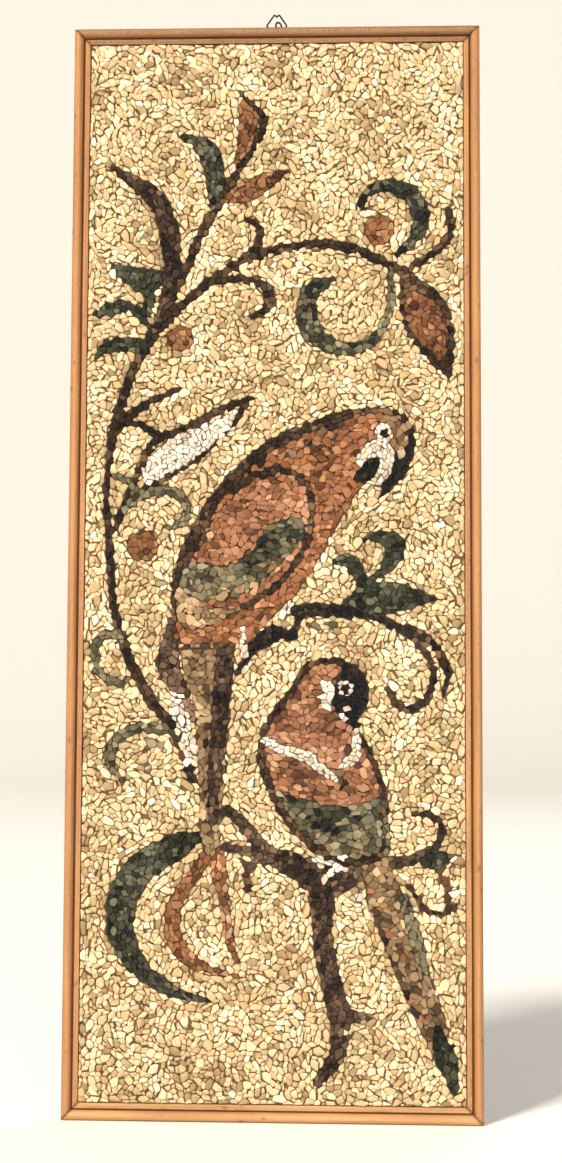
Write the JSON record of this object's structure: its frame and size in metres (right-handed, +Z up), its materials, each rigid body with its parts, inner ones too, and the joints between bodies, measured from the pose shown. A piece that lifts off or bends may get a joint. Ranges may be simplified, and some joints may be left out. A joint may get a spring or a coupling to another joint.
{
  "type": "stone chip mosaic panel",
  "caption": "Tall mosaic wall panel of natural stone chips, with parrots on scrolling branches, in a thin wooden frame with a black wire hanger above its top rail.",
  "frame": {"origin": "underside of the dip at the top of the wire ring, where the wall's nail or hook carries it", "axes": "+Z up, the picture faces -Y, +X towards the viewer's right"},
  "size_m": [0.4, 0.018, 1.0773],
  "materials": {
    "wood": "varnished honey-brown moulding, worn along its edges",
    "board": "plain brown hardboard",
    "black_wire": "black lacquered wire",
    "cream_stone": "matt broken chips, cream to olive tan, in brown adhesive",
    "white_stone": "matt broken chips, white",
    "terracotta_stone": "matt broken chips, terracotta",
    "brick_stone": "matt broken chips, brick brown",
    "rose_stone": "matt broken chips, pinkish terracotta",
    "brown_stone": "matt broken chips, dark brown",
    "mauve_stone": "matt broken chips, mauve brown",
    "tan_stone": "matt broken chips, grey tan",
    "green_stone": "matt broken chips, dark grey green",
    "sage_stone": "matt broken chips, sage grey",
    "black_stone": "matt broken chips, near black"
  },
  "bodies": {
    "root": {"rail_top": "wood", "rail_bottom": "wood", "rail_left": "wood", "rail_right": "wood", "backing_board": "board", "hanging_ring": "black_wire", "screw_eye": "black_wire", "background_chips": "cream_stone", "vine": "brown_stone", "crown_leaf": "mauve_stone", "tulip_leaf": "brick_stone", "tall_leaf": "green_stone", "small_leaf": "brick_stone", "left_leaf_upper": "green_stone", "left_leaf_middle": "green_stone", "left_leaf_lower": "green_stone", "berry_left": "terracotta_stone", "berry_right": "terracotta_stone", "berry_lower": "terracotta_stone", "crescent_leaf": "green_stone", "ring_scroll": "sage_stone", "drop_leaf_edge": "brown_stone", "drop_leaf": "brick_stone", "pale_leaf": "white_stone", "left_curl": "sage_stone", "left_scroll_upper": "sage_stone", "left_scroll_lower": "sage_stone", "upper_branch": "black_stone", "sprig": "green_stone", "perch": "mauve_stone", "perch_hooks": "mauve_stone", "perch_leaf": "green_stone", "great_crescent": "green_stone", "amber_crescent": "terracotta_stone", "amber_plume": "terracotta_stone", "upper_tail": "tan_stone", "upper_tail_side": "mauve_stone", "upper_tail_feather": "mauve_stone", "upper_body": "terracotta_stone", "upper_flight": "tan_stone", "upper_coverts": "rose_stone", "upper_wing_band": "sage_stone", "upper_wing_edge": "brown_stone", "upper_back_edge": "brown_stone", "upper_beak": "black_stone", "upper_cheek": "white_stone", "upper_jaw": "black_stone", "upper_eye_ring": "white_stone", "upper_pupil": "black_stone", "lower_tail": "tan_stone", "lower_tail_side": "sage_stone", "lower_tail_tip": "green_stone", "lower_outline": "brown_stone", "lower_body": "brick_stone", "lower_belly": "sage_stone", "lower_mask": "black_stone", "necklace_left": "white_stone", "necklace_right": "white_stone", "lower_eye_ring": "white_stone", "lower_pupil": "black_stone"}
  },
  "joints": []
}
